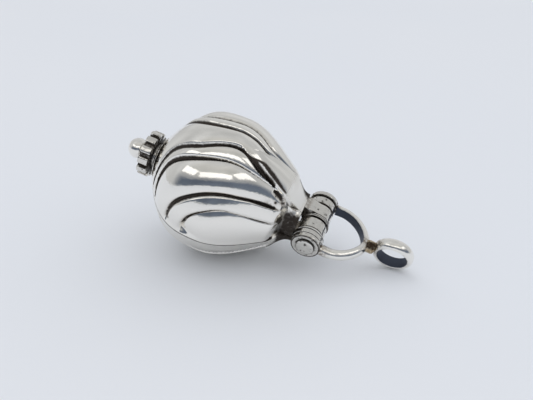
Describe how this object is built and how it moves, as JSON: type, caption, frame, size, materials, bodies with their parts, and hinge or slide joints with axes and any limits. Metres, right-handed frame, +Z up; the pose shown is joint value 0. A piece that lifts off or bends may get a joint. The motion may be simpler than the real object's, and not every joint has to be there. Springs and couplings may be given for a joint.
{
  "type": "pomander",
  "caption": "Silver pomander pendant: a swirl-lobed hollow bulb in hinged halves, shut by a notched thumb nut with a ball finial and hung from a shackle and ring.",
  "frame": {"origin": "middle of the part's footprint on the surface that it lies on", "axes": "+X from the ball finial towards the suspension ring, +Z up, -Y towards the viewer of the pictured side"},
  "size_m": [0.0582, 0.0276, 0.0279],
  "materials": {
    "silver": "worn polished silver, blackened in the grooves",
    "oxidised_silver": "dull blackened silver",
    "solder": "brown-stained silver solder"
  },
  "bodies": {
    "base": {"lower_shell": "silver", "inner_rim": "oxidised_silver", "closure_stud": "oxidised_silver", "rear_knuckle": "silver", "front_knuckle": "silver", "hinge_pin": "silver", "hinge_washer": "silver"},
    "lid": {"upper_shell": "silver", "middle_knuckle": "silver"},
    "bail": {"bail_shackle": "silver", "front_ear": "silver", "rear_ear": "silver", "bail_collar": "solder", "suspension_ring": "silver"},
    "finial": {"ball_finial": "silver"},
    "nut": {"thumb_nut": "silver"}
  },
  "joints": [
    {"name": "lid_hinge", "type": "hinge", "parent": "base", "child": "lid", "pos_m": [0.00955, 0, 0.00806], "axis": [0.0854, 0.9532, 0.2901], "range_deg": [0, 95]},
    {"name": "bail_hinge", "type": "hinge", "parent": "base", "child": "bail", "pos_m": [0.00955, 0, 0.00806], "axis": [0.0854, 0.9532, 0.2901], "range_deg": [-22, 95]},
    {"name": "nut_travel", "type": "slide", "parent": "base", "child": "finial", "axis": [-0.9593, 0, 0.2823], "range_m": [-0.0007, 0.00105]},
    {"name": "nut_turn", "type": "hinge", "parent": "finial", "child": "nut", "pos_m": [-0.02436, 0, 0.01804], "axis": [-0.9593, 0, 0.2823], "range_deg": [-361, 541]}
  ],
  "couplings": [
    {"joint": "nut_turn", "follows": "nut_travel", "rad_per_m": 8976}
  ]
}
